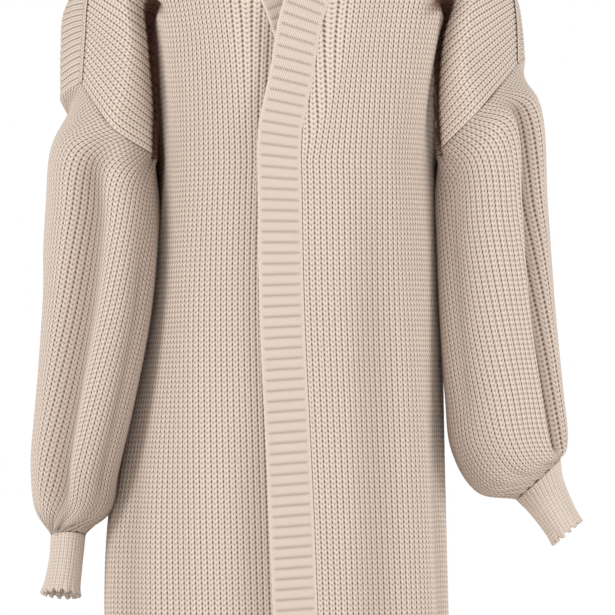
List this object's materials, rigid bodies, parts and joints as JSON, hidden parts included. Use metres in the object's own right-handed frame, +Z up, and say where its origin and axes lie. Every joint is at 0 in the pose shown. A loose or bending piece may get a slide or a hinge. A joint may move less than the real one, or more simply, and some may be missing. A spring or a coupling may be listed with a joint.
{
  "type": "duster cardigan",
  "caption": "Long open-front cardigan in chunky ribbed knit with a cross-ribbed front and neck band, drop shoulders and full sleeves gathered into narrow cuffs.",
  "frame": {"origin": "midway between the two points where the shoulder seams meet the neck, on the garment's middle line", "axes": "+Z up, +X to the right as seen from the front, the front faces -Y"},
  "size_m": [0.5499, 0.2736, 1.1078],
  "materials": {
    "rib_knit": "matte chunky rib knit in oatmeal yarn",
    "band_knit": "matte firm cross-ribbed knit in oatmeal yarn",
    "cuff_knit": "matte fine rib knit in oatmeal yarn"
  },
  "bodies": {
    "root": {"front_left": "rib_knit", "front_right": "rib_knit", "back": "rib_knit", "sleeve_left": "rib_knit", "sleeve_right": "rib_knit", "front_band": "band_knit", "cuff_left": "cuff_knit", "cuff_right": "cuff_knit"}
  },
  "joints": []
}
